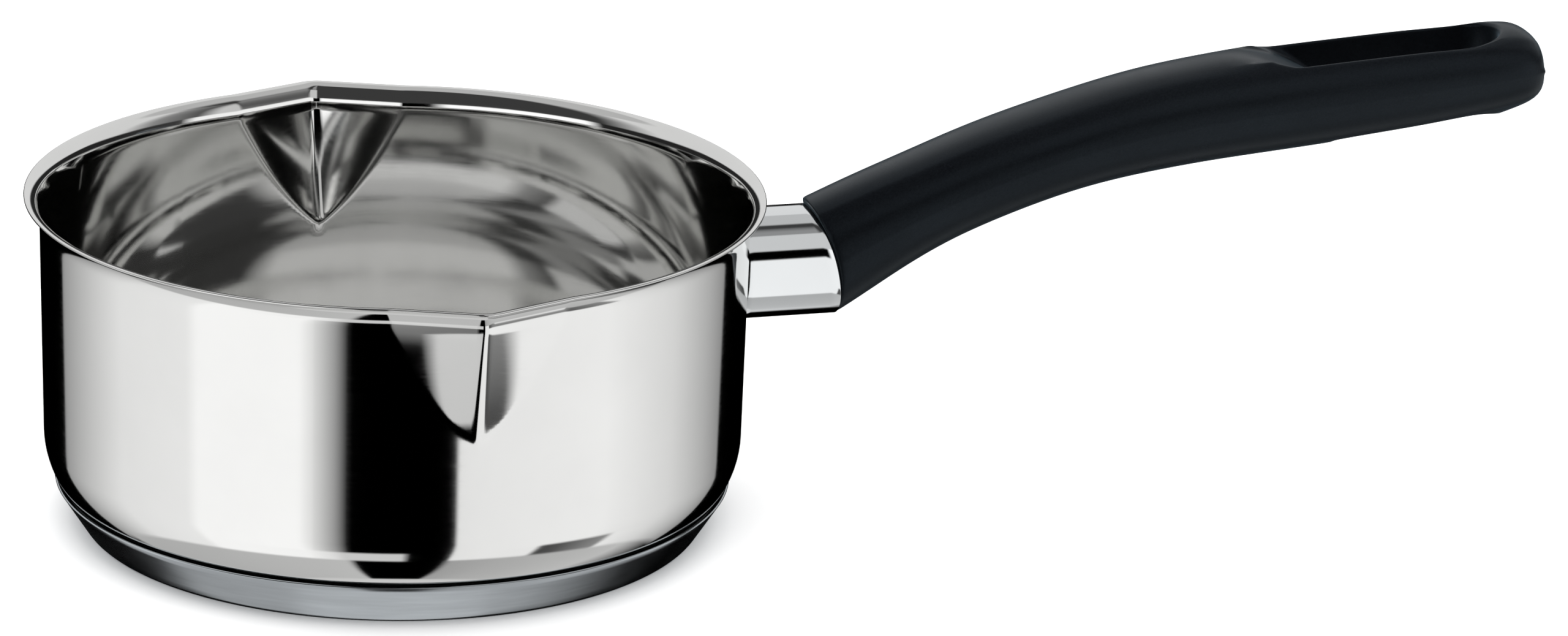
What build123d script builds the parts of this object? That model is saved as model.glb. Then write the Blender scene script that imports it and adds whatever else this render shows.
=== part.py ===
from build123d import *
import math
import os

# Small saucepan with two pouring lips, a sandwich base and a screwed-on moulded handle.
# Frame: origin at the centre of the base's underside, +Z up, handle along +X, lips at +Y and -Y.
# All sizes are millimetres and degrees.

os.makedirs("parts", exist_ok=True)

# ---------------------------------------------------------------- driving sizes
# Pan body, drawn from one sheet
mouth_radius = 80.0         # inside of the wall, just under the flared rim
pan_height = 77.0           # table to the top of the rim
sheet = 0.6                 # stainless sheet of the body
wall_lean = 0.9             # the wall opens this much towards the rim
corner_radius = 19.3        # outside radius where the wall starts to turn in
heel_radius = 14.0          # tighter outside radius from there in to the floor
corner_break = 37.3         # how far below level the corner meets the heel
flare_ease_radius = 7.5     # outside radius where the rim starts to bend out
flare_ease_angle = 25.0     # over this much of the quarter turn
flare_radius = 2.8          # tighter outside radius for the rest of it

# Pouring lips, pressed into the wall on both sides
lip_throw = 5.4             # how far the crease stands out at the rim
lip_height = 33.0           # rim down to the lip's tip
lip_fold = 7.5              # angle at which the lip's flanks leave the round wall
crease_radius = 2.5         # inside radius of the crease at the rim
tip_radius = 6.0            # inside radius of the crease at the tip
lip_steps = 5               # sections that shape each lip
lip_root = 3.0              # lips are drawn from this many throws inside the wall
rim_root = 1.5              # and their rims from this many

# Sandwich base
core_thickness = 3.5        # aluminium disc under the floor
cap_sheet = 0.5             # stainless capsule round the disc
cap_height = 10.3           # table to the capsule's edge
cap_top_radius = 77.0       # outside, at that edge
cap_foot_radius = 70.4      # outside, where side and bottom would meet unrounded
cap_foot_round = 2.5
groove_depth = 0.9          # the disc stops this far below the capsule's edge
groove_gap = 0.3            # the capsule's edge stays this far under the body

# Ferrule between wall and handle
handle_drop = 22.1          # rim down to the ferrule's axis
ferrule_length = 21.8       # wall to handle, along that axis
ferrule_width = 21.5
ferrule_height = 25.4
ferrule_sheet = 0.6
oval_power = 2.5            # 2 is an ellipse, more is squarer
oval_steps = 16             # points that shape each oval
joint_radius = 54.8         # the ferrule's cut end, seen from the side
joint_rise = 12.3           # that arc's centre lies this far below the axis
joint_gap = 0.3             # shadow line between ferrule and handle

# Handle
grip_length = 194.1         # along the spine, from inside the ferrule to the tail
spine_lead = 12.7           # the spine starts this far before the joint
spine_dip = 6.0             # and this far below the ferrule's axis
spine_angle = 33.1          # climb at the start
spine_radius = 238.5
tail_angle = 5.0            # climb of the straight tail
tail_round = 4.5
root_start = 2.1            # the grip's root is this much taller than the ferrule where it starts
root_end = 0.9              # and this much by the next section
root_side = 0.1             # and this much wider there
root_share = 0.05
# share of the spine, half height and half width of the grip's sections
grip_sections = (
    (0.22, 11.0, 11.7),
    (0.39, 10.8, 12.5),
    (0.54, 11.9, 12.9),
    (0.69, 12.0, 13.1),
    (0.84, 11.4, 12.9),
    (0.94, 10.2, 12.5),
    (1.00, 9.2, 12.1),
)
hang_width = 17.5           # hanging slot
hang_length = 46.0          # open right through over this length
tail_web = 9.1              # material left behind the slot
ramp_length = 17.0          # scoop that leads into the slot
ramp_half_height = 12.0     # half height of the grip where the scoop starts
ramp_depth = 8.0

# Fixing screw, an M5 that runs along the ferrule's axis
screw_length = 30.0
screw_radius = 2.5
screw_tip = 0.6             # chamfer at the tip
screw_proud = 1.0           # the tip stands this far out of the nut
head_radius = 4.75
head_height = 3.4
head_edge = 1.1             # height of the head's straight edge
drive_depth = 1.9
drive_width = 1.1
drive_length = 5.2
nut_flats = 8.0
nut_height = 4.0
flat_washer_radius = 5.0
flat_washer_thickness = 1.0
lock_washer_radius = 4.4
lock_washer_thickness = 1.3
lock_washer_split = 1.0

# Bracket on the wall
bracket_sheet = 1.2
bracket_bend = 1.9          # outside radius of the nose's bends
bracket_width = 12.0
bracket_reach = 8.2         # wall to the front of the bracket's nose
nose_half_height = 7.2

# Clearances
thread_gap = 0.05           # screw in nut, radial
screw_gap = 0.4             # screw in bracket and handle, radial
washer_gap = 0.15           # washers on the screw, radial
recess_gap = 0.5            # washers in the handle's recess, radial
spigot_gap = 0.25           # handle's spigot in the ferrule, all round
ferrule_gap = 0.05          # ferrule's end against the wall
flange_clear = 1.9          # bracket's flanges below the ferrule's inside, at the middle

# ---------------------------------------------------------------- worked-out sizes
outer_radius = mouth_radius + sheet
floor_z = cap_sheet + core_thickness
flange_half_height = ferrule_height / 2 - ferrule_sheet - flange_clear
flare_ease = math.radians(flare_ease_angle)
flare_rise = (flare_ease_radius + sheet) * math.sin(flare_ease)
flare_rise += (flare_radius + sheet) * (1 - math.sin(flare_ease))
flare_z = pan_height - flare_rise
lean = math.radians(wall_lean)
turn = math.radians(corner_break)
corner_z = floor_z + heel_radius * (1 - math.sin(turn)) + corner_radius * (math.sin(turn) - math.sin(lean))
corner_run = corner_radius * (math.cos(lean) - math.cos(turn)) + heel_radius * math.cos(turn)
floor_radius = outer_radius - (flare_z - corner_z) * math.tan(lean) - corner_run
cap_slope = (cap_top_radius - cap_foot_radius) / cap_height
grip_z = pan_height - handle_drop
joint_x = outer_radius + ferrule_length
nose_x = outer_radius + bracket_reach


# ---------------------------------------------------------------- pan body
def rim_bend(start, out):
    """The rim's bend from the wall's end, `out` outside the inner face, to level."""
    ease = JernArc(start, (0, 1), flare_ease_radius + sheet - out, -flare_ease_angle)
    return JernArc(ease @ 1, ease % 1, flare_radius + sheet - out, flare_ease_angle - 90)


def body_chain(out):
    """Half section of the round body's surface, `out` outside its inner face."""
    inset = sheet - out
    floor = Line((0, floor_z + inset), (floor_radius, floor_z + inset))
    heel = JernArc(floor @ 1, floor % 1, heel_radius - inset, 90 - corner_break)
    corner = JernArc(heel @ 1, heel % 1, corner_radius - inset, corner_break - wall_lean)
    wall = Line(corner @ 1, (mouth_radius + out, flare_z))
    return floor @ 0, rim_bend(wall @ 1, out)


def body_fill(out):
    """Everything inside that surface, up to one sheet above the rim."""
    with BuildPart() as fill:
        with BuildSketch(Plane.XZ):
            with BuildLine():
                middle, flare = body_chain(out)
                top = pan_height + sheet
                Polyline(flare @ 1, ((flare @ 1).X, top), (0, top), middle)
            make_face()
        revolve(axis=Axis.Z)
    return fill.part


def rim_face(plane, out, depth):
    """Half section of the flared rim on a plane, its filling `depth` deep."""
    with BuildSketch(plane, mode=Mode.PRIVATE) as face:
        with BuildLine():
            foot = Line((mouth_radius - depth, flare_z), (mouth_radius + out, flare_z))
            flare = rim_bend(foot @ 1, out)
            if out > 0:
                edge = JernArc(flare @ 1, flare % 1, out / 2, 180)
            else:
                edge = Line(flare @ 1, flare @ 1 + (0, sheet))
            Polyline(edge @ 1, (mouth_radius - depth, (edge @ 1).Y), foot @ 0)
        make_face()
    return face.sketch


def flank_angle(radius, throw):
    """Angle of a lip's flank that leaves a round wall at the fold angle."""
    return math.acos(radius * math.cos(math.radians(lip_fold)) / (radius + throw))


def lip_fill(out):
    """Everything inside the lip at +Y, its surface `out` outside the inner face."""
    tip_z = pan_height - lip_height
    rim_flank = flank_angle(mouth_radius, lip_throw)
    lean_in, climb = math.sin(rim_flank), math.cos(rim_flank)
    crease_y = mouth_radius + lip_throw - crease_radius / climb
    flank_length = (mouth_radius + lip_throw) * lean_in - crease_radius * math.tan(rim_flank)
    with BuildPart() as fill:
        for step in range(lip_steps):
            share = step / (lip_steps - 1)
            z = tip_z + share * (flare_z - tip_z)
            radius = mouth_radius - (flare_z - z) * math.tan(lean)
            throw = share * lip_throw
            flank = flank_angle(radius, throw)
            near = radius * math.cos(math.radians(lip_fold))
            side_x, side_y = near * math.sin(flank), near * math.cos(flank)
            inner_y = side_y - lip_root * lip_throw
            with BuildSketch(Plane.XY.offset(z)) as section:
                Polygon(
                    (0, radius + throw), (side_x, side_y), (side_x, inner_y),
                    (-side_x, inner_y), (-side_x, side_y), align=None,
                )
                crease = section.vertices().sort_by(Axis.Y)[-1]
                fillet(crease, tip_radius + share * (crease_radius - tip_radius))
                if out > 0:
                    offset(amount=out, kind=Kind.INTERSECTION)
        loft()
        for side in (1, -1):
            plane = Plane(
                origin=(side * lean_in * (crease_radius - mouth_radius),
                        crease_y + climb * (crease_radius - mouth_radius), 0),
                x_dir=(side * lean_in, climb, 0),
                z_dir=(climb, -side * lean_in, 0),
            )
            along = (side * climb, -lean_in, 0)
            extrude(rim_face(plane, out, rim_root * lip_throw), amount=flank_length, dir=along)
        crease_axis = Axis((0, crease_y, 0), (0, 0, 1))
        crease_face = rim_face(plane, out, crease_radius)
        revolve(crease_face, axis=crease_axis, revolution_arc=-2 * math.degrees(rim_flank))
    return fill.part


lip_inside = lip_fill(0)
body_inside = body_fill(0)

with BuildPart() as lip_skin:
    add(lip_fill(sheet))
    add(lip_inside, mode=Mode.SUBTRACT)
    add(body_inside, mode=Mode.SUBTRACT)

with BuildPart() as round_body:
    with BuildSketch(Plane.XZ):
        with BuildLine():
            inner_middle, inner_flare = body_chain(0)
            outer_middle, outer_flare = body_chain(sheet)
            JernArc(outer_flare @ 1, outer_flare % 1, sheet / 2, 180)
            Line(inner_middle, outer_middle)
        make_face()
    revolve(axis=Axis.Z)

# The round body opens where the lips are pressed out, and their skins close it again
opened_body = round_body.part - lip_inside - lip_inside.mirror(Plane.XZ)
closed_body = opened_body + lip_skin.part + lip_skin.part.mirror(Plane.XZ)
with BuildPart() as pan_shell:
    add(closed_body)
pan_shell.part.label = "pan_shell"
export_step(pan_shell.part, "parts/pan_shell.step")

# What sits against the body is cut to this surface
body_outside = body_fill(sheet)


# ---------------------------------------------------------------- sandwich base
def cap_fill(inset, top):
    """Everything inside the capsule's surface, moved in by inset, up to a height."""
    foot = cap_foot_radius - inset * math.sqrt(1 + cap_slope ** 2)
    with BuildPart() as fill:
        with BuildSketch(Plane.XZ) as section:
            Polygon(
                (0, inset), (foot + inset * cap_slope, inset),
                (foot + top * cap_slope, top), (0, top), align=None,
            )
            corner = section.vertices().group_by(Axis.Y)[0].sort_by(Axis.X)[-1]
            fillet(corner, cap_foot_round - inset)
        revolve(axis=Axis.Z)
    return fill.part


with BuildPart() as base_cap:
    add(cap_fill(0, cap_height))
    add(cap_fill(cap_sheet, cap_height), mode=Mode.SUBTRACT)
    add(body_outside.translate((0, 0, -groove_gap)), mode=Mode.SUBTRACT)
base_cap.part.label = "base_cap"
export_step(base_cap.part, "parts/base_cap.step")

# The disc fills what the capsule and the body leave, short of the capsule's edge
with BuildPart() as base_core:
    add(cap_fill(cap_sheet, cap_height - groove_depth))
    add(body_outside, mode=Mode.SUBTRACT)
base_core.part.label = "base_core"
export_step(base_core.part, "parts/base_core.step")


# ---------------------------------------------------------------- handle bracket
# Top-hat strip, spot-welded to the wall by its two flanges
hat_inner = nose_half_height - bracket_sheet
bracket_plane = Plane(origin=(0, 0, grip_z), x_dir=(1, 0, 0), z_dir=(0, -1, 0))
axis_plane = Plane(origin=(0, 0, grip_z), x_dir=(0, 1, 0), z_dir=(1, 0, 0))
buried = outer_radius - 2 * bracket_sheet
with BuildPart() as handle_bracket:
    with BuildSketch(bracket_plane) as strip:
        Polygon(
            (buried, -flange_half_height), (outer_radius + bracket_sheet, -flange_half_height),
            (outer_radius + bracket_sheet, -nose_half_height), (nose_x, -nose_half_height),
            (nose_x, nose_half_height), (outer_radius + bracket_sheet, nose_half_height),
            (outer_radius + bracket_sheet, flange_half_height), (buried, flange_half_height),
            align=None,
        )
        bends = strip.vertices().group_by(Axis.X)[-1]
        fillet(bends, bracket_bend)
        with Locations(((buried + nose_x - bracket_sheet) / 2, 0)):
            Rectangle(nose_x - bracket_sheet - buried, 2 * hat_inner, mode=Mode.SUBTRACT)
    extrude(amount=bracket_width / 2, both=True)
    with BuildSketch(axis_plane):
        Circle(screw_radius + screw_gap)
    extrude(amount=2 * joint_x, mode=Mode.SUBTRACT)
    add(body_outside, mode=Mode.SUBTRACT)
handle_bracket.part.label = "handle_bracket"
export_step(handle_bracket.part, "parts/handle_bracket.step")

# M5 weld nut, on the wall's side of the bracket's nose
with BuildPart() as bracket_nut:
    with BuildSketch(axis_plane.offset(nose_x - bracket_sheet - nut_height)):
        RegularPolygon(nut_flats / 2, 6, major_radius=False)
        Circle(screw_radius + thread_gap, mode=Mode.SUBTRACT)
    extrude(amount=nut_height)
bracket_nut.part.label = "bracket_nut"
export_step(bracket_nut.part, "parts/bracket_nut.step")


# ---------------------------------------------------------------- ferrule
def oval(half_width, half_height):
    """Squarish oval about the origin."""
    points = []
    for step in range(oval_steps):
        angle = 2 * math.pi * step / oval_steps
        across, up = math.cos(angle), math.sin(angle)
        x = math.copysign(abs(across) ** (2 / oval_power), across) * half_width
        y = math.copysign(abs(up) ** (2 / oval_power), up) * half_height
        points.append((x, y))
    with BuildSketch(mode=Mode.PRIVATE) as face:
        with BuildLine():
            Spline(*points, periodic=True)
        make_face()
    return face.sketch


def joint_drum(gap):
    """Drum whose side is the ferrule's cut end, its radius changed by a gap."""
    centre_x = joint_x - math.sqrt(joint_radius ** 2 - joint_rise ** 2)
    with BuildPart() as drum:
        with BuildSketch(Plane.XZ):
            with Locations((centre_x, grip_z - joint_rise)):
                Circle(joint_radius + gap)
        extrude(amount=ferrule_width, both=True)
    return drum.part


with BuildPart() as ferrule:
    with BuildSketch(axis_plane.offset(outer_radius - 5 * ferrule_sheet)):
        add(oval(ferrule_width / 2, ferrule_height / 2))
    extrude(amount=2 * ferrule_length)
    with BuildSketch(axis_plane):
        add(oval(ferrule_width / 2 - ferrule_sheet, ferrule_height / 2 - ferrule_sheet))
    extrude(amount=2 * joint_x, mode=Mode.SUBTRACT)
    add(joint_drum(-joint_gap / 2), mode=Mode.INTERSECT)
    add(body_outside.translate((ferrule_gap, 0, 0)), mode=Mode.SUBTRACT)
ferrule.part.label = "ferrule"
export_step(ferrule.part, "parts/ferrule.step")


# ---------------------------------------------------------------- handle
seat_x = nose_x - bracket_sheet - nut_height - screw_proud + screw_length
seat_x -= lock_washer_thickness + flat_washer_thickness
recess_radius = flat_washer_radius + recess_gap
with BuildLine(Plane.XZ) as spine:
    climb = math.radians(spine_angle)
    bend_length = spine_radius * math.radians(spine_angle - tail_angle)
    bend = JernArc(
        (joint_x - spine_lead, grip_z - spine_dip), (math.cos(climb), math.sin(climb)),
        spine_radius, tail_angle - spine_angle,
    )
    PolarLine(bend @ 1, grip_length - bend_length, tail_angle)
spine_wire = spine.wire()
tail = spine_wire @ 1
slot_end_x = tail.X - tail_web
slot_front_x = slot_end_x - hang_length
ramp_x = slot_front_x - ramp_length
ramp_top_z = tail.Z - (tail.X - ramp_x) * math.tan(math.radians(tail_angle)) + ramp_half_height
root_sections = (
    (0.00, ferrule_height / 2 + root_start, ferrule_width / 2),
    (root_share, ferrule_height / 2 + root_end, ferrule_width / 2 + root_side),
)

# The hanging slot: a long round-ended outline, open right through behind a scooped ramp
with BuildPart() as slot_tool:
    with BuildSketch(Plane.XY.offset(tail.Z)):
        with Locations(((ramp_x + slot_end_x) / 2, 0)):
            SlotOverall(slot_end_x - ramp_x, hang_width)
    extrude(amount=2 * ferrule_height, both=True)
    with BuildSketch(Plane.XZ):
        Polygon(
            (ramp_x - hang_width, ramp_top_z + ramp_depth * hang_width / ramp_length),
            (slot_front_x, ramp_top_z - ramp_depth),
            (slot_front_x, 0), (slot_end_x + hang_width, 0),
            (slot_end_x + hang_width, 2 * tail.Z), (ramp_x - hang_width, 2 * tail.Z),
            align=None,
        )
    extrude(amount=hang_width, both=True, mode=Mode.INTERSECT)

with BuildPart() as handle:
    for share, half_height, half_width in root_sections + grip_sections:
        place = spine_wire.location_at(share)
        with BuildSketch(Plane(origin=place.position, x_dir=(0, 1, 0), z_dir=spine_wire % share)):
            add(oval(half_width, half_height))
    loft()
    fillet(handle.faces().sort_by(Axis.X)[-1].edges(), tail_round)
    add(joint_drum(joint_gap / 2), mode=Mode.SUBTRACT)
    with BuildSketch(axis_plane.offset(nose_x)):
        add(oval(
            ferrule_width / 2 - ferrule_sheet - spigot_gap,
            ferrule_height / 2 - ferrule_sheet - spigot_gap,
        ))
    extrude(amount=joint_x - nose_x)
    with BuildSketch(axis_plane):
        Circle(screw_radius + screw_gap)
    extrude(amount=seat_x, mode=Mode.SUBTRACT)
    with BuildSketch(axis_plane.offset(seat_x)):
        Circle(recess_radius)
    extrude(amount=grip_length / 4, mode=Mode.SUBTRACT)
    add(slot_tool.part, mode=Mode.SUBTRACT)
handle.part.label = "handle"
export_step(handle.part, "parts/handle.step")

# ---------------------------------------------------------------- fixing screw and washers
with BuildPart() as flat_washer:
    with BuildSketch(axis_plane.offset(seat_x)):
        Circle(flat_washer_radius)
        Circle(screw_radius + washer_gap, mode=Mode.SUBTRACT)
    extrude(amount=flat_washer_thickness)
flat_washer.part.label = "flat_washer"
export_step(flat_washer.part, "parts/flat_washer.step")

with BuildPart() as lock_washer:
    with BuildSketch(axis_plane.offset(seat_x + flat_washer_thickness)):
        Circle(lock_washer_radius)
        Circle(screw_radius + washer_gap, mode=Mode.SUBTRACT)
        with Locations((0, lock_washer_radius)):
            Rectangle(lock_washer_split, 2 * lock_washer_radius - screw_radius, mode=Mode.SUBTRACT)
    extrude(amount=lock_washer_thickness)
lock_washer.part.label = "lock_washer"
export_step(lock_washer.part, "parts/lock_washer.step")

head_x = seat_x + flat_washer_thickness + lock_washer_thickness
dome_rise = head_height - head_edge
dome_radius = (head_radius ** 2 + dome_rise ** 2) / (2 * dome_rise)
with BuildPart() as handle_screw:
    with BuildSketch(Plane(origin=(head_x, 0, grip_z), x_dir=(1, 0, 0), z_dir=(0, -1, 0))):
        with BuildLine():
            shank = Polyline(
                (head_height, 0), (-screw_length, 0), (-screw_length, screw_radius - screw_tip),
                (screw_tip - screw_length, screw_radius), (0, screw_radius), (0, head_radius),
                (head_edge, head_radius),
            )
            RadiusArc(shank @ 1, (head_height, 0), dome_radius)
        make_face()
    revolve(axis=Axis((0, 0, grip_z), (1, 0, 0)))
    with BuildSketch(axis_plane.offset(head_x + head_height - drive_depth)):
        Rectangle(drive_width, drive_length)
        Rectangle(drive_length, drive_width)
    extrude(amount=2 * drive_depth, mode=Mode.SUBTRACT)
handle_screw.part.label = "handle_screw"
export_step(handle_screw.part, "parts/handle_screw.step")
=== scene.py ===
from math import acos, atan2, copysign, cos, hypot, pi, radians, sin, sqrt, tan

import bmesh
import bpy
from mathutils import Matrix, Vector


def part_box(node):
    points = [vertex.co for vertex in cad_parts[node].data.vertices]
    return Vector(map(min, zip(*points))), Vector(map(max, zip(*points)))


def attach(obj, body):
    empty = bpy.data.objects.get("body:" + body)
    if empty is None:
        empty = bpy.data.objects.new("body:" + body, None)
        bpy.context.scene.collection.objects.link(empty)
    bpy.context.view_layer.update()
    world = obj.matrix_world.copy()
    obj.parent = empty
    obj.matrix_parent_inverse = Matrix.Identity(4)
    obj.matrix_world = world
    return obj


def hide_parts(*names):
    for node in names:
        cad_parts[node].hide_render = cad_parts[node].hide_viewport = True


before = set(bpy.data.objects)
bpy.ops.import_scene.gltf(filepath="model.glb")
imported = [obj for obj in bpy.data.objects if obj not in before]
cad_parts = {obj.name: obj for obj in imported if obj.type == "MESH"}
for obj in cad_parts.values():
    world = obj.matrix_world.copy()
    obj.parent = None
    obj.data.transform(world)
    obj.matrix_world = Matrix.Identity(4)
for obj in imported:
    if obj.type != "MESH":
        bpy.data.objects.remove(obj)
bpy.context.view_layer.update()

mm = 0.001

# ---------------------------------------------------------------- studio
# A pale table and one wide lamp overhead, inside a banded surround that the polished steel
# shows. The surround isn't a plain soft light: see the note at its rings.
scene = bpy.context.scene
scene.view_settings.view_transform = "Standard"

camera = bpy.data.objects.new("camera", bpy.data.cameras.new("camera"))
scene.collection.objects.link(camera)
camera.location = Vector((-337.96, -1429.66, 542.42)) * mm
look = Vector((0.27344, 0.90761, -0.31855))
camera_roll = 1.816
camera.rotation_mode = "QUATERNION"
camera.rotation_quaternion = look.to_track_quat("-Z", "Y")
camera.rotation_quaternion @= Matrix.Rotation(radians(camera_roll), 4, "Z").to_quaternion()
camera.data.lens = 155.66
camera.data.clip_start = 0.05
scene.camera = camera


def plain(name, colour):
    """A plain matt finish for what the pan stands on."""
    finish = bpy.data.materials.new(name)
    finish.use_nodes = True
    shader = finish.node_tree.nodes["Principled BSDF"]
    shader.inputs["Base Color"].default_value = (*colour, 1)
    shader.inputs["Roughness"].default_value = 1.0
    shader.inputs["Specular IOR Level"].default_value = 0
    return finish


bpy.ops.object.select_all(action="DESELECT")
bpy.ops.mesh.primitive_plane_add(size=10, location=(0, 0, 0))
table = bpy.context.object
table.name = "table"
table.data.materials.append(plain("table white", (0.93, 0.93, 0.93)))
table.visible_glossy = False

# The surround is bright and dark rings, one above the other. Each ring starts at a height in
# degrees, and gives bearings from the handle, in degrees too, with how bright it is there.
# Its numbers were worked backwards from the bands wanted on the wall as the camera sees it,
# so it flatters that one view. An even surround and soft lamps would be the honest studio.
tent_rings = (
    (-90, ((0, 0.70), (360, 0.70))),
    (-74, ((0, 0.62), (30, 0.0), (122, 0.0), (128, 0.5), (240, 0.6), (243, 0.0), (276, 0.0),
           (279, 0.42), (300, 0.5), (360, 0.62))),
    (-44, ((0, 0.82), (20, 0.52), (31, 0.33), (32, 0.0), (120, 0.0), (121, 0.37), (140, 0.66),
           (157, 0.92), (186, 1.0), (190, 1.16), (226, 1.12), (236, 0.9), (240, 0.72), (261, 0.70),
           (262, 0.0), (277, 0.0), (278, 0.96), (290, 1.0), (308, 1.0), (311, 0.07), (318, 0.10),
           (338, 0.30), (341, 1.0), (360, 0.82))),
    (-33, ((0, 0.82), (20, 0.52), (31, 0.33), (32, 0.0), (120, 0.0), (121, 0.37), (140, 0.66),
           (157, 0.92), (186, 1.0), (190, 1.16), (226, 1.16), (238, 0.38), (242, 0.0), (277, 0.0),
           (278, 0.96), (290, 1.0), (330, 1.05), (360, 0.82))),
    (-3, ((0, 0.02), (186, 0.02), (192, 1.3), (240, 1.3), (246, 0.0), (296, 0.0), (302, 1.1),
          (326, 1.1), (332, 0.05), (360, 0.02))),
    (12, ((0, 0.78), (160, 0.78), (185, 0.05), (258, 0.05), (266, 0.66), (318, 0.66), (326, 0.1),
          (345, 0.3), (360, 0.78))),
    (48, ((0, 0.55), (170, 0.55), (185, 0.05), (262, 0.05), (275, 0.30), (300, 0.30), (318, 0.05),
          (340, 0.05), (360, 0.55))),
)
ring_blend = 1.2

world = bpy.data.worlds.new("studio")
world.use_nodes = True
scene.world = world
tent = world.node_tree
surround = tent.nodes["Background"]


def tent_node(kind, inputs, **settings):
    node = tent.nodes.new(kind)
    for name, value in settings.items():
        setattr(node, name, value)
    for socket, value in inputs.items():
        if isinstance(value, bpy.types.NodeSocket):
            tent.links.new(value, node.inputs[socket])
        else:
            node.inputs[socket].default_value = value
    return node.outputs


def hung(value, stops):
    """Brightness along a ring of cloths."""
    share = tent_node("ShaderNodeMath", {0: value, 1: 360}, operation="DIVIDE")[0]
    ramp = tent.nodes.new("ShaderNodeValToRGB")
    points = ramp.color_ramp.elements
    for index, (where, bright) in enumerate(stops):
        point = points[index] if index < 2 else points.new(where / 360)
        point.position = where / 360
        point.color = (bright, bright, bright, 1)
    tent.links.new(share, ramp.inputs[0])
    return ramp.outputs[0]


def blended(share, first, second):
    return tent_node("ShaderNodeMix", {0: share, 6: first, 7: second}, data_type="RGBA")[2]


def tent_maths(operation, first, second=0.0):
    return tent_node("ShaderNodeMath", {0: first, 1: second}, operation=operation)[0]


heading = tent_node("ShaderNodeTexCoord", {})["Generated"]
parts = tent_node("ShaderNodeSeparateXYZ", {"Vector": heading})
turned = tent_maths("ARCTAN2", parts[1], parts[0])
bearing = tent_maths("DEGREES", tent_maths("FLOORED_MODULO", turned, 2 * pi))
height = tent_maths("DEGREES", tent_maths("ARCSINE", parts[2]))
all_round = hung(bearing, tent_rings[0][1])
for start, stops in tent_rings[1:]:
    share = tent_node(
        "ShaderNodeMapRange",
        {"Value": height, "From Min": start - ring_blend, "From Max": start + ring_blend},
    )["Result"]
    all_round = blended(share, all_round, hung(bearing, stops))
seen = tent_node("ShaderNodeLightPath", {})["Is Camera Ray"]
tent.links.new(blended(seen, all_round, (1, 1, 1, 1)), surround.inputs["Color"])


def area_light(name, place, target, width, height, power):
    """A soft light of that size in metres, turned to a point."""
    lamp = bpy.data.objects.new(name, bpy.data.lights.new(name, "AREA"))
    scene.collection.objects.link(lamp)
    lamp.data.shape = "RECTANGLE"
    lamp.data.size, lamp.data.size_y = width, height
    lamp.data.energy = power
    lamp.location = place
    lamp.rotation_mode = "QUATERNION"
    lamp.rotation_quaternion = (Vector(target) - Vector(place)).to_track_quat("-Z", "Y")
    return lamp


overhead = area_light("overhead", (0.1, 0.0, 3.0), (0.1, 0, 0), 6.0, 6.0, 330)
overhead.visible_glossy = False


# ---------------------------------------------------------------- pan body
# One piece of stainless sheet, drawn to a pan and polished outside, with a brushed inside.
# The rim is rolled outwards and the two lips are pressed out of the wall.
sheet = 0.6
mouth_radius = 80.0
rim_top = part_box("pan_shell")[1].z / mm
floor_top = 4.6
floor_radius = 64.72
heel_radius = 13.4
corner_radius = 18.7
corner_break = 37.3
wall_lean = 0.9
ease_radius = 8.1
ease_angle = 25.0
flare_radius = 3.4
flare_z = rim_top - ease_radius * sin(radians(ease_angle)) - flare_radius * (1 - sin(radians(ease_angle)))
lip_throw = 5.4
lip_height = 33.0
lip_fold = 7.5
crease_radius = 2.5
tip_radius = 6.0
soft_fold = 0.08


def start_drawing(name, point):
    """A new mesh in edit mode, holding one selected point (across, 0, up)."""
    bpy.ops.object.select_all(action="DESELECT")
    bpy.ops.mesh.primitive_plane_add(size=mm)
    piece = bpy.context.object
    piece.name = name
    bpy.ops.object.mode_set(mode="EDIT")
    bpy.ops.mesh.select_mode(type="VERT")
    bpy.ops.mesh.select_all(action="SELECT")
    bpy.ops.mesh.merge(type="CENTER")
    bpy.ops.transform.translate(value=Vector((point[0], 0, point[1])) * mm)
    return piece


def draw_line(piece, end, steps=1):
    """Carries the selected point straight on to (across, up)."""
    point = next(v.co.copy() for v in bmesh.from_edit_mesh(piece.data).verts if v.select)
    step = (Vector((end[0], 0, end[1])) * mm - point) / steps
    for _ in range(steps):
        bpy.ops.mesh.extrude_region_move(TRANSFORM_OT_translate={"value": step})


def draw_arc(centre, angle, steps):
    """Carries the selected point round a centre, anticlockwise seen from the front."""
    bpy.ops.mesh.spin(
        steps=steps, angle=radians(angle), center=Vector((centre[0], 0, centre[1])) * mm, axis=(0, 1, 0),
    )


def select_where(piece, kind, wanted):
    """In edit mode, selects just the vertices, edges or faces that are wanted."""
    bpy.ops.mesh.select_mode(type={"verts": "VERT", "edges": "EDGE", "faces": "FACE"}[kind])
    bpy.ops.mesh.select_all(action="DESELECT")
    drawn = bmesh.from_edit_mesh(piece.data)
    for part in getattr(drawn, kind):
        if wanted(part):
            part.select_set(True)
    drawn.select_flush_mode()
    bmesh.update_edit_mesh(piece.data)


def close_turned(piece):
    """Closes the seam and the pole of a turned skin and turns its faces outwards."""
    bpy.ops.mesh.select_all(action="SELECT")
    bpy.ops.mesh.remove_doubles(threshold=0.002 * mm)
    bpy.ops.mesh.normals_make_consistent(inside=True)
    bpy.ops.object.mode_set(mode="OBJECT")


def thicken(piece, thickness, side, inner_finish=0):
    """Gives a skin its thickness, outwards (side 1) or inwards (side -1)."""
    wall = piece.modifiers.new("wall", "SOLIDIFY")
    wall.thickness = thickness * mm
    wall.offset = side
    wall.use_even_offset = True
    wall.use_quality_normals = True
    wall.material_offset = inner_finish
    bpy.ops.object.modifier_apply(modifier=wall.name)


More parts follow.
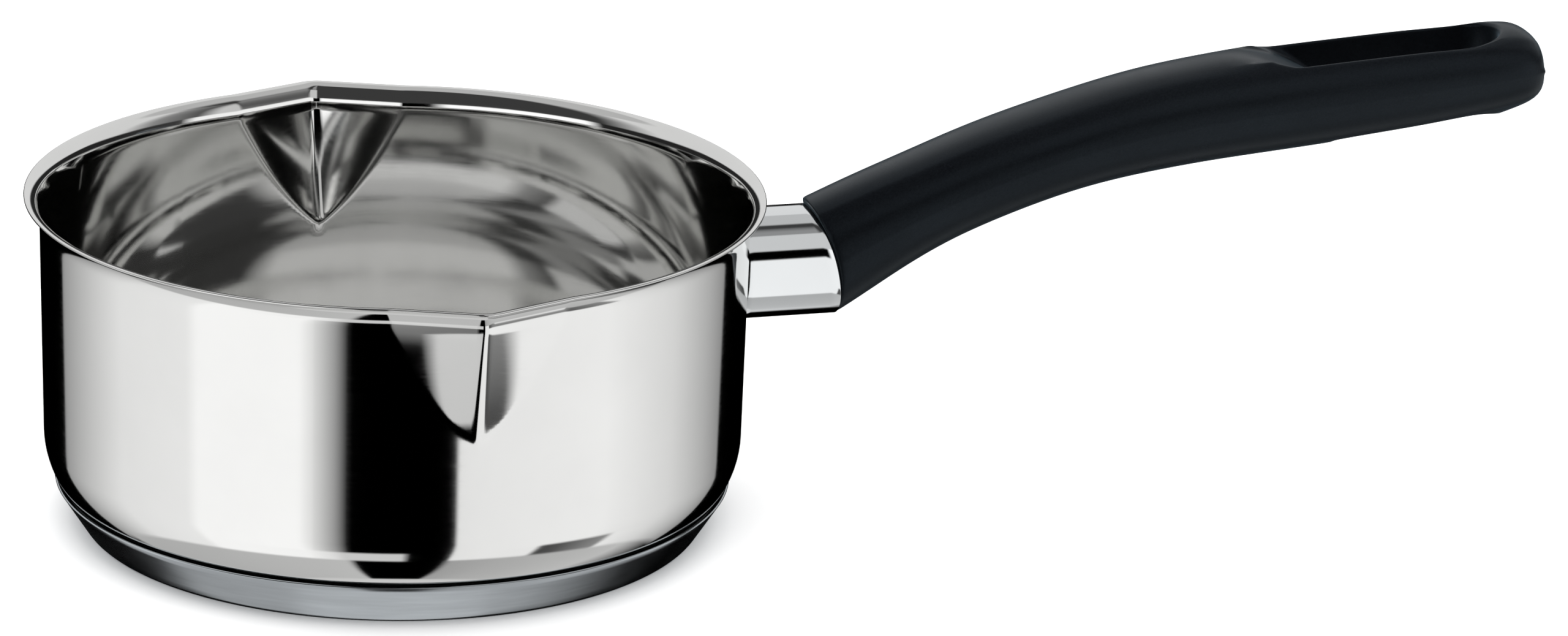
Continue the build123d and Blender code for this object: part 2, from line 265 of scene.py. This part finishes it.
body = start_drawing("pan_body", (0, floor_top))
draw_line(body, (floor_radius, floor_top), 12)
heel_centre = (floor_radius, floor_top + heel_radius)
draw_arc(heel_centre, 90 - corner_break, 12)
heel_end = (
    heel_centre[0] + heel_radius * cos(radians(corner_break)),
    heel_centre[1] - heel_radius * sin(radians(corner_break)),
)
corner_centre = (
    heel_end[0] - corner_radius * cos(radians(corner_break)),
    heel_end[1] + corner_radius * sin(radians(corner_break)),
)
draw_arc(corner_centre, corner_break - wall_lean, 9)
tip_z = rim_top - lip_height
draw_line(body, (mouth_radius - (flare_z - tip_z) * tan(radians(wall_lean)), tip_z), 7)
draw_line(body, (mouth_radius, flare_z), 28)
draw_arc((mouth_radius + ease_radius, flare_z), -ease_angle, 5)
ease_end = (
    mouth_radius + ease_radius * (1 - cos(radians(ease_angle))),
    flare_z + ease_radius * sin(radians(ease_angle)),
)
flare_centre = (
    ease_end[0] + flare_radius * cos(radians(ease_angle)),
    ease_end[1] - flare_radius * sin(radians(ease_angle)),
)
draw_arc(flare_centre, ease_angle - 90, 9)
draw_line(body, (flare_centre[0] + sheet / 2, rim_top))

# The skin is turned in four sweeps, with finer steps where the lips are pressed
lip_sweep = 52.0
bpy.ops.mesh.select_all(action="SELECT")
bpy.ops.transform.rotate(value=radians(90 - lip_sweep / 2), orient_axis="Z", center_override=(0, 0, 0))
for sweep, steps in ((lip_sweep, 130), (180 - lip_sweep, 86)) * 2:
    bpy.ops.mesh.spin(steps=steps, angle=radians(sweep), center=(0, 0, 0), axis=(0, 0, 1))
close_turned(body)


def lip_reach(angle, height):
    """How far out the inner face is at an angle from a lip's middle, for a wall height."""
    share = max(0.0, min(1.0, (height - tip_z) / (flare_z - tip_z)))
    wall = mouth_radius - (flare_z - min(height, flare_z)) * tan(radians(wall_lean))
    near = wall * cos(radians(lip_fold))
    flank = acos(near / (wall + share * lip_throw))
    return share, wall, near, flank


for vertex in body.data.vertices:
    radius, height = hypot(vertex.co.x, vertex.co.y) / mm, vertex.co.z / mm
    if height <= tip_z or radius < mouth_radius / 2:
        continue
    angle = atan2(abs(vertex.co.x), abs(vertex.co.y))
    share, wall, near, flank = lip_reach(angle, height)
    out = radius - wall
    if angle > flank:
        continue
    crease = tip_radius + share * (crease_radius - tip_radius)
    centre = (near - crease) / cos(flank)
    crease += out
    flat = (near + out) / cos(flank - angle)
    if angle < atan2(crease * sin(flank), centre + crease * cos(flank)):
        flat = centre * cos(angle) + sqrt(crease ** 2 - (centre * sin(angle)) ** 2)
    blend = max(soft_fold - abs(flat - radius), 0) / soft_fold
    reach = max(flat, radius) + blend ** 2 * soft_fold / 4
    vertex.co.x *= reach / radius
    vertex.co.y *= reach / radius

bpy.context.view_layer.objects.active = body
body.select_set(True)
thicken(body, sheet, 1, inner_finish=1)


def round_edges(piece, width, segments, wanted):
    """Rounds over the edges that are wanted."""
    bpy.context.view_layer.objects.active = piece
    bpy.ops.object.mode_set(mode="EDIT")
    select_where(piece, "edges", wanted)
    bpy.ops.mesh.bevel(offset=width * mm, segments=segments, affect="EDGES")
    bpy.ops.object.mode_set(mode="OBJECT")


def is_sharp(edge, degrees=50):
    return len(edge.link_faces) == 2 and edge.calc_face_angle(0) > radians(degrees)


round_edges(body, sheet * 0.45, 3, is_sharp)
bpy.ops.object.shade_smooth()


class Finish:
    """A node material, with the few nodes that the pan's finishes are made from."""

    def __init__(self, name, colour, metallic, roughness):
        self.material = bpy.data.materials.new(name)
        self.material.use_nodes = True
        self.tree = self.material.node_tree
        self.shader = self.tree.nodes["Principled BSDF"]
        self.shader.inputs["Base Color"].default_value = (*colour, 1)
        self.shader.inputs["Metallic"].default_value = metallic
        self.shader.inputs["Roughness"].default_value = roughness
        self.place = self.add("ShaderNodeTexCoord").outputs["Object"]

    def add(self, kind, inputs=(), **settings):
        node = self.tree.nodes.new(kind)
        for name, value in settings.items():
            setattr(node, name, value)
        for socket, value in dict(inputs).items():
            if isinstance(value, bpy.types.NodeSocket):
                self.tree.links.new(value, node.inputs[socket])
            else:
                node.inputs[socket].default_value = value
        return node

    def scaled(self, scale, place=None):
        """Object coordinates in millimetres, stretched by a scale on each axis."""
        stretch = Vector(scale) / mm
        return self.add("ShaderNodeMapping", {"Vector": place or self.place, "Scale": stretch}).outputs[0]

    def noise(self, place, detail=3.0, roughness=0.6, scale=1.0):
        return self.add(
            "ShaderNodeTexNoise", {"Vector": place, "Scale": scale, "Detail": detail, "Roughness": roughness},
        ).outputs["Fac"]

    def ranged(self, value, low, high, from_low=0.3, from_high=0.7):
        """Carries a value from one range to another."""
        return self.add(
            "ShaderNodeMapRange",
            {"Value": value, "From Min": from_low, "From Max": from_high, "To Min": low, "To Max": high},
        ).outputs["Result"]

    def mixed(self, share, first, second):
        """A colour between two, by a share."""
        return self.add(
            "ShaderNodeMix", {0: share, 6: (*first, 1), 7: (*second, 1)}, data_type="RGBA",
        ).outputs[2]

    def maths(self, operation, first, second=0.0):
        return self.add("ShaderNodeMath", {0: first, 1: second}, operation=operation).outputs[0]

    def bump(self, height, strength, depth):
        """Raises the surface by a height, its depth in millimetres."""
        node = self.add("ShaderNodeBump", {"Height": height, "Strength": strength, "Distance": depth * mm})
        self.tree.links.new(node.outputs[0], self.shader.inputs["Normal"])

    def put(self, socket, value):
        self.tree.links.new(value, self.shader.inputs[socket])

    def turned_lines(self, fine, along):
        """Noise drawn out round the pan's axis, as a lathe or a brush leaves it."""
        apart = self.add("ShaderNodeSeparateXYZ", {"Vector": self.place})
        across = self.add("ShaderNodeCombineXYZ", {"X": apart.outputs[0], "Y": apart.outputs[1]}).outputs[0]
        reach = self.add("ShaderNodeVectorMath", {0: across}, operation="LENGTH").outputs["Value"]
        way = self.add("ShaderNodeVectorMath", {0: across}, operation="NORMALIZE").outputs["Vector"]
        run = self.maths("SUBTRACT", apart.outputs[2], reach)
        run = self.maths("MULTIPLY", run, fine / mm)
        way = self.add("ShaderNodeVectorMath", {0: way, "Scale": along}, operation="SCALE").outputs["Vector"]
        lift = self.add("ShaderNodeCombineXYZ", {"Z": run}).outputs[0]
        return self.add("ShaderNodeVectorMath", {0: way, 1: lift}, operation="ADD").outputs["Vector"]


def polished(name, colour=(0.80, 0.80, 0.79)):
    """Mirror-polished stainless steel, with the faint wipe marks and haze of handling."""
    finish = Finish(name, colour, 1.0, 0.05)
    haze = finish.noise(finish.scaled((0.03, 0.03, 0.03)), 4)
    wipes = finish.noise(finish.turned_lines(2.2, 9.0), 5, 0.75)
    finish.put("Roughness", finish.ranged(finish.maths("MULTIPLY", haze, wipes), 0.035, 0.085, 0.12, 0.4))
    hazed = tuple(c * 0.965 for c in colour)
    finish.put("Base Color", finish.mixed(finish.ranged(haze, 0, 1), colour, hazed))
    finish.bump(wipes, 0.025, 0.02)
    return finish.material


def satin(name, colour, smooth, rough, fine=1.6, depth=0.02):
    """Stainless steel brushed round and round, darker and brighter in soft clouds."""
    finish = Finish(name, colour, 1.0, rough)
    lines = finish.noise(finish.turned_lines(fine, 2.5), 2, 0.7)
    clouds = finish.noise(finish.scaled((0.035, 0.035, 0.05)), 3)
    finish.put("Roughness", finish.ranged(clouds, smooth, rough, 0.35, 0.65))
    worn = tuple(c * 0.86 for c in colour)
    finish.put("Base Color", finish.mixed(finish.ranged(lines, 0, 1), colour, worn))
    finish.bump(lines, 0.25, depth)
    return finish.material


body.data.materials.append(polished("polished wall"))
body.data.materials.append(satin("brushed inside", (0.60, 0.61, 0.61), 0.07, 0.2, 1.6, 0.012))
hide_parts("pan_shell")
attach(body, "root")


# ---------------------------------------------------------------- sandwich base
# A thick aluminium disc for even heat, pressed on under the floor inside a thin stainless
# capsule, whose edge stops short of the wall and leaves a dark groove all round.
cap_sheet = 0.5
cap_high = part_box("base_cap")[1]
cap_height, cap_radius = cap_high.z / mm, cap_high.x / mm
cap_foot = 70.4
cap_foot_round = 2.5
cap_lean = atan2(cap_radius - cap_foot, cap_height)
round_run = cap_foot_round * tan((pi / 2 - cap_lean) / 2)
cap = start_drawing("base_capsule", (0, 0))
draw_line(cap, (cap_foot - round_run, 0), 10)
draw_arc((cap_foot - round_run, cap_foot_round), 90 - cap_lean * 180 / pi, 6)
draw_line(cap, (cap_radius, cap_height), 6)
bpy.ops.mesh.select_all(action="SELECT")
bpy.ops.mesh.spin(steps=256, angle=2 * pi, center=(0, 0, 0), axis=(0, 0, 1))
close_turned(cap)
thicken(cap, cap_sheet, -1)  # this puts the sheet outside the drawn line, so 0.5 mm too low
round_edges(cap, cap_sheet * 0.4, 2, is_sharp)
bpy.ops.object.shade_smooth_by_angle(angle=radians(40))
cap.data.materials.append(satin("brushed capsule", (0.60, 0.64, 0.67), 0.16, 0.22, 1.1))
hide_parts("base_cap")
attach(cap, "root")


def finish_node(node, material):
    """Gives a part that is used as it was drawn its finish."""
    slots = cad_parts[node].data.materials
    slots.clear()
    slots.append(material)


aluminium = Finish("pressed aluminium", (0.56, 0.57, 0.58), 1.0, 0.45)
grain = aluminium.noise(aluminium.turned_lines(0.9, 4.0), 6, 0.8)
aluminium.put("Roughness", aluminium.ranged(grain, 0.38, 0.6))
pale, dull = (0.5, 0.51, 0.52), (0.36, 0.37, 0.38)
aluminium.put("Base Color", aluminium.mixed(aluminium.ranged(grain, 0, 1), pale, dull))
aluminium.bump(grain, 0.4, 0.03)
finish_node("base_core", aluminium.material)


# ---------------------------------------------------------------- handle bracket and fixings
# A folded steel strip, spot-welded to the wall, with a weld nut inside it. The long screw
# comes in from under the handle, through a flat and a split washer. Plated, and mostly hidden.
def plated(name, colour):
    finish = Finish(name, colour, 1.0, 0.3)
    cloud = finish.noise(finish.scaled((0.4, 0.4, 0.4)), 4)
    fine = finish.noise(finish.scaled((6, 6, 6)), 3)
    finish.put("Roughness", finish.ranged(cloud, 0.22, 0.42))
    finish.put("Base Color", finish.mixed(finish.ranged(cloud, 0, 1), colour, tuple(c * 0.8 for c in colour)))
    finish.bump(fine, 0.2, 0.02)
    return finish.material


finish_node("handle_bracket", plated("bracket strip", (0.62, 0.62, 0.61)))
fixings = plated("zinc plate", (0.66, 0.67, 0.69))
for node in ("bracket_nut", "handle_screw", "lock_washer", "flat_washer"):
    finish_node(node, fixings)


# ---------------------------------------------------------------- ferrule
# A polished tube of squarish oval section, between the wall and the handle. One end follows
# the wall and the other is cut to the round of the handle's root.
oval_power = 2.5
ferrule_sheet = 0.6
ferrule_low, ferrule_high = (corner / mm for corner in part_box("ferrule"))
grip_z = (ferrule_low.z + ferrule_high.z) / 2
ferrule_half_width = 10.75
ferrule_half_height = (ferrule_high.z - ferrule_low.z) / 2
joint_centre = (49.03, 42.6)
joint_radius = 54.65


def oval_point(angle, half_width, half_height):
    """A point on a squarish oval, across and up."""
    across, up = cos(angle), sin(angle)
    return (
        abs(across) ** (2 / oval_power) * (1 if across > 0 else -1) * half_width,
        abs(up) ** (2 / oval_power) * (1 if up > 0 else -1) * half_height,
    )


def joint_at(up, radius):
    """How far along the joint's cut is, at a height."""
    return joint_centre[0] + sqrt(radius ** 2 - (up - joint_centre[1]) ** 2)


bpy.ops.object.select_all(action="DESELECT")
bpy.ops.mesh.primitive_cylinder_add(
    vertices=96, radius=ferrule_half_width * mm, depth=2 * mm, end_fill_type="NOTHING",
)
ferrule = bpy.context.object
ferrule.name = "steel_ferrule"
outer_wall = mouth_radius + sheet
for vertex in ferrule.data.vertices:
    at_wall = vertex.co.z < 0
    angle = atan2(vertex.co.y, vertex.co.x)
    across, up = oval_point(angle, ferrule_half_width, ferrule_half_height)
    up += grip_z
    on_wall = outer_wall + 0.05 - max(0, flare_z - up) * tan(radians(wall_lean))
    along = sqrt(on_wall ** 2 - across ** 2) if at_wall else joint_at(up, joint_radius)
    vertex.co = Vector((along, across, up)) * mm
bpy.ops.object.mode_set(mode="EDIT")
select_where(ferrule, "edges", lambda edge: abs(edge.verts[0].co.x - edge.verts[1].co.x) > 5 * mm)
bpy.ops.mesh.subdivide(number_cuts=9)
bpy.ops.mesh.select_all(action="SELECT")
bpy.ops.mesh.normals_make_consistent(inside=False)
bpy.ops.object.mode_set(mode="OBJECT")
thicken(ferrule, ferrule_sheet, -1)
round_edges(ferrule, ferrule_sheet * 0.3, 2, lambda edge: is_sharp(edge, 60))
bpy.ops.object.shade_smooth_by_angle(angle=radians(40))
ferrule.data.materials.append(polished("polished ferrule", (0.84, 0.86, 0.87)))
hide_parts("ferrule")
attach(ferrule, "root")


# ---------------------------------------------------------------- handle
# Moulded black bakelite, with a parting line along both sides where the mould closed and a
# hanging slot behind a scooped ramp. The fixing screw's hole underneath isn't cut here.
handle_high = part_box("handle")[1] / mm
spine_start = (89.73, 48.9)
climb_start, climb_end = radians(33.1), radians(5.0)
spine_radius = 238.5
bend_length = spine_radius * (climb_start - climb_end)
grip_length = 194.1
grip_sizes = (
    (0.00, 14.2, 10.8), (0.05, 13.6, 10.85), (0.22, 11.0, 11.7), (0.39, 10.8, 12.5),
    (0.54, 11.9, 12.9), (0.69, 12.0, 13.1), (0.84, 11.4, 12.9), (0.94, 10.2, 12.5), (1.00, 9.2, 12.1),
)
slot_half_width = 8.75
slot_depth = 8.0
slot_front, ramp_end, slot_back = 214.0, 222.5, 258.6
joint_gap = 0.3
spigot_gap = 0.25
spigot_end = 89.0
slot_round, slot_under_round, root_round = 1.1, 0.4, 0.7
root_until = 115


def spine_at(length):
    """Middle of the grip and its climb, at a length along it."""
    climb = climb_start - min(length, bend_length) / spine_radius
    rest = max(0, length - bend_length)
    along = spine_start[0] + spine_radius * (sin(climb_start) - sin(climb)) + rest * cos(climb)
    up = spine_start[1] + spine_radius * (cos(climb) - cos(climb_start)) + rest * sin(climb)
    return along, up, climb


def grip_size(share):
    """Half height and half width of the grip, smoothly between its sizes."""
    for (start, *first), (end, *second) in zip(grip_sizes, grip_sizes[1:]):
        if share <= end:
            part = (share - start) / (end - start)
            part = 0.5 * part + 0.5 * part * part * (3 - 2 * part)
            return [one + part * (two - one) for one, two in zip(first, second)]
    return list(grip_sizes[-1][1:])


def tail_length(along):
    """Length along the spine of a place on its straight tail."""
    return bend_length + (along - spine_at(bend_length)[0]) / cos(climb_end)


# Columns round the grip: from one side over the top to the other side, and back below
quarter = (1.0, 0.979, 0.918, 0.817, 0.673, 0.583, 0.337)
columns = [(f, 1) for f in quarter] + [(0.0, 1)] + [(-f, 1) for f in reversed(quarter)]
columns += [(-f, -1) for f in quarter[1:]] + [(0.0, -1)] + [(f, -1) for f in reversed(quarter[1:])]
slot_columns = {4: 1.0, 5: 0.866, 6: 0.5, 7: 0.0, 8: -0.5, 9: -0.866, 10: -1.0}
slot_left, slot_middle, slot_right = 4, 7, 10
lengths = [14.0, 19.0, 26.0, 34.0, 43.0, 53.0, 64.0, 76.0, 88.0, 100.0, 112.0]
slot_from = len(lengths)
lengths += [tail_length(along) for along in (slot_front, ramp_end, 234.5, 247.0, slot_back)]
slot_to = len(lengths) - 1
lengths += [tail_length(along) for along in (271.8, handle_high.x - 1.1, handle_high.x - 0.25)]
tail_shrink = {slot_to + 2: (1.9, 1.9), slot_to + 3: (4.6, 5.2)}


def cage_point(station, column):
    """Where the grip's cage passes, for a station along it and a column round it."""
    along, up, climb = spine_at(lengths[station])
    half_height, half_width = grip_size(lengths[station] / grip_length)
    lower, narrower = tail_shrink.get(station, (0, 0))
    half_height, half_width = half_height - lower, half_width - narrower
    share, side = columns[column]
    over = column if side > 0 else len(columns) - column
    across = share * half_width
    if slot_from <= station <= slot_to and over in slot_columns:
        across = slot_columns[over] * slot_half_width
    rise = side * half_height * (1 - min(1, abs(across) / half_width) ** oval_power) ** (1 / oval_power)
    along, up = along - rise * sin(climb), up + rise * cos(climb)
    if over in slot_columns:
        bow = sqrt(1 - slot_columns[over] ** 2) * slot_half_width
        along += bow if station == slot_to else -bow if station == slot_from and side > 0 else 0
    if station == 0:
        reach = Vector((along - joint_centre[0], up - joint_centre[1]))
        way = Vector((cos(climb), sin(climb)))
        cut_radius = joint_radius + joint_gap
        slide = -reach.dot(way) + sqrt(reach.dot(way) ** 2 - reach.length_squared + cut_radius ** 2)
        along, up = along + slide * way.x, up + slide * way.y
    return Vector((along, across, up)) * mm


def key(point):
    """A place to a hundredth of a millimetre, to know a vertex by."""
    return tuple(round(value / mm, 2) for value in point)


round_count = len(columns)
bpy.ops.object.select_all(action="DESELECT")
bpy.ops.mesh.primitive_grid_add(x_subdivisions=len(lengths) - 1, y_subdivisions=round_count, size=mm)
grip = bpy.context.object
grip.name = "bakelite_handle"
known = {}
for index, vertex in enumerate(grip.data.vertices):
    station, column = index % len(lengths), index // len(lengths) % round_count
    vertex.co = cage_point(station, column)
    known[key(vertex.co)] = station, column
bpy.ops.object.mode_set(mode="EDIT")
bpy.ops.mesh.select_mode(type="FACE")


def in_slot(face):
    column, station = divmod(face.index, len(lengths) - 1)
    above = slot_left <= column < slot_right and slot_from <= station < slot_to
    under = round_count - slot_right <= column < round_count - slot_left
    below = under and slot_from < station < slot_to
    return above or below


select_where(grip, "faces", in_slot)
bpy.ops.mesh.delete(type="FACE")
bpy.ops.mesh.select_all(action="SELECT")
bpy.ops.mesh.remove_doubles(threshold=0.01 * mm)


def slot_edge(edge, stations, front):
    """Whether an edge of the opening on top lies between two stations."""
    places = [known.get(key(vertex.co)) for vertex in edge.verts]
    if len(edge.link_faces) != 1 or None in places:
        return False
    if not all(slot_left <= place[1] <= slot_right for place in places):
        return False
    inside = all(stations[0] <= place[0] <= stations[1] for place in places)
    return inside and all(place[0] == slot_from for place in places) == front


def carry_down(level):
    """Draws the selected edges down the slot's wall, to the ramp's depth or to the bottom."""
    bpy.ops.mesh.extrude_edges_move()
    drawn = bmesh.from_edit_mesh(grip.data)
    for vertex in drawn.verts:
        if not vertex.select:
            continue
        station, column = known[key(vertex.co)]
        station = max(station, slot_from + 1)
        over, under = cage_point(station, column), cage_point(station, round_count - column)
        share = 1.0 if level == "bottom" else slot_depth * mm / (over.z - under.z)
        if level == "ramp":
            share = slot_depth * mm / (cage_point(station, slot_middle).z - under.z)
        vertex.co = over + (under - over) * share
        known.setdefault(key(vertex.co), (station, column))
    bmesh.update_edit_mesh(grip.data)


for front in (True, False):
    for level in ("ramp", "bottom"):
        if level == "ramp":
            first = slot_from if front else slot_from + 1
            select_where(grip, "edges", lambda edge: slot_edge(edge, (first, slot_to), front))
        carry_down(level)
bpy.ops.mesh.select_all(action="SELECT")
bpy.ops.mesh.remove_doubles(threshold=0.02 * mm)
bpy.ops.mesh.fill_holes(sides=3)

# The tail is closed, and the root is turned in to the spigot that sits in the ferrule
select_where(grip, "edges", lambda edge: len(edge.link_faces) == 1 and edge.verts[0].co.x > slot_back * mm)
bpy.ops.mesh.edge_face_add()
for end in ("face", "spigot"):
    select_where(grip, "edges", lambda edge: len(edge.link_faces) == 1)
    bpy.ops.mesh.extrude_edges_move()
    drawn = bmesh.from_edit_mesh(grip.data)
    for vertex in drawn.verts:
        if vertex.select:
            if end == "face":
                angle = atan2(vertex.co.z / mm - grip_z, vertex.co.y / mm)
                across, up = oval_point(
                    angle, ferrule_half_width - ferrule_sheet - spigot_gap,
                    ferrule_half_height - ferrule_sheet - spigot_gap,
                )
                along = joint_at(grip_z + up, joint_radius + joint_gap)
                vertex.co = Vector((along, across, grip_z + up)) * mm
            else:
                vertex.co.x = spigot_end * mm
    bmesh.update_edit_mesh(grip.data)
bpy.ops.mesh.edge_face_add()
bpy.ops.mesh.select_all(action="SELECT")
bpy.ops.mesh.normals_make_consistent(inside=False)


# The slot's edges and the root's edge are rounded over
def around_slot(edge):
    middle = (edge.verts[0].co + edge.verts[1].co) / 2 / mm
    in_length = slot_front - slot_half_width - 1 < middle.x < slot_back + slot_half_width + 1
    return in_length and abs(middle.y) < slot_half_width + 0.3 and is_sharp(edge, 42)


# The parting line is a shallow groove along both sides, where the two halves of the mould met
side_columns = (0, round_count // 2)
seam_half_width, seam_depth = 0.35, 0.2


def on_seam(part):
    places = [known.get(key(vertex.co), (0, 1)) for vertex in getattr(part, "verts", (part,))]
    return all(place[1] in side_columns for place in places) and not getattr(part, "is_boundary", False)


select_where(grip, "edges", lambda edge: on_seam(edge) and abs(edge.verts[0].co.x - edge.verts[1].co.x) > mm)
bpy.ops.mesh.bevel(offset=seam_half_width * mm, segments=2, affect="EDGES")
drawn = bmesh.from_edit_mesh(grip.data)
for vertex in drawn.verts:
    if on_seam(vertex) and slot_half_width * mm < abs(vertex.co.y):
        vertex.co.y -= copysign(seam_depth * mm, vertex.co.y)
bmesh.update_edit_mesh(grip.data)
bpy.ops.object.mode_set(mode="OBJECT")
round_edges(grip, slot_round, 2, lambda edge: around_slot(edge) and edge.verts[0].normal.z > 0)
round_edges(grip, slot_under_round, 2, around_slot)
round_edges(
    grip, root_round, 2, lambda edge: is_sharp(edge, 60) and edge.verts[0].co.x < root_until * mm,
)
grip.modifiers.new("smooth", "SUBSURF").levels = 2
grip.modifiers["smooth"].render_levels = 2
bpy.context.view_layer.objects.active = grip
bpy.ops.object.modifier_apply(modifier="smooth")
bpy.ops.object.select_all(action="DESELECT")
grip.select_set(True)
bpy.ops.object.shade_smooth_by_angle(angle=radians(50))

bakelite = Finish("black bakelite", (0.005, 0.006, 0.007), 0.0, 0.42)
bakelite.shader.inputs["Specular IOR Level"].default_value = 0.22
bakelite.shader.inputs["Sheen Weight"].default_value = 0.12
bakelite.shader.inputs["Sheen Roughness"].default_value = 0.35
bakelite.shader.inputs["Sheen Tint"].default_value = (0.62, 0.84, 1.0, 1)
bakelite.shader.inputs["Specular Tint"].default_value = (0.66, 0.84, 1.0, 1)
speck = bakelite.noise(bakelite.scaled((2.6, 2.6, 2.6)), 4, 0.7)
patch = bakelite.noise(bakelite.scaled((0.06, 0.06, 0.06)), 3)
bakelite.put("Roughness", bakelite.ranged(patch, 0.26, 0.36))
black, grey_fleck = (0.0008, 0.0008, 0.0012), (0.0035, 0.004, 0.005)
bakelite.put("Base Color", bakelite.mixed(bakelite.ranged(speck, 0, 1), black, grey_fleck))
bakelite.bump(speck, 0.35, 0.06)
grip.data.materials.append(bakelite.material)
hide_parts("handle")
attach(grip, "root")
